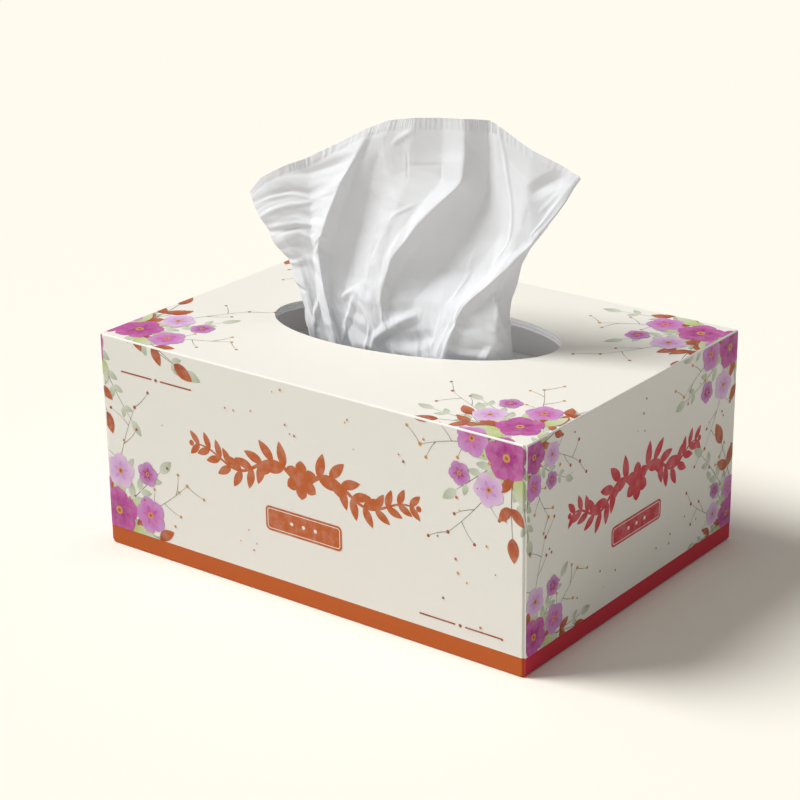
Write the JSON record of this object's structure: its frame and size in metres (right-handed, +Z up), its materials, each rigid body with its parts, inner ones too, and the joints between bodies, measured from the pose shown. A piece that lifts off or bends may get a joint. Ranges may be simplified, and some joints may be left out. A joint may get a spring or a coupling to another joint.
{
  "type": "tissue box",
  "caption": "Glued paperboard box with an oval mouth, a stack of folded facial tissues and one tissue pulled up through the mouth.",
  "frame": {"origin": "middle of the carton's bottom, on the table", "axes": "+Z up, +X along the long front panel to the right, front panel facing -Y"},
  "size_m": [0.23, 0.168, 0.2003],
  "materials": {
    "carton": "smooth coated paperboard, cream with coloured print",
    "mouth_ring": "uncoated layered board",
    "tissue_stack": "soft white tissue",
    "pulled_tissue": "soft white tissue"
  },
  "bodies": {
    "root": {"carton": "carton", "mouth_ring": "mouth_ring", "tissue_stack": "tissue_stack", "pulled_tissue": "pulled_tissue"}
  },
  "joints": []
}
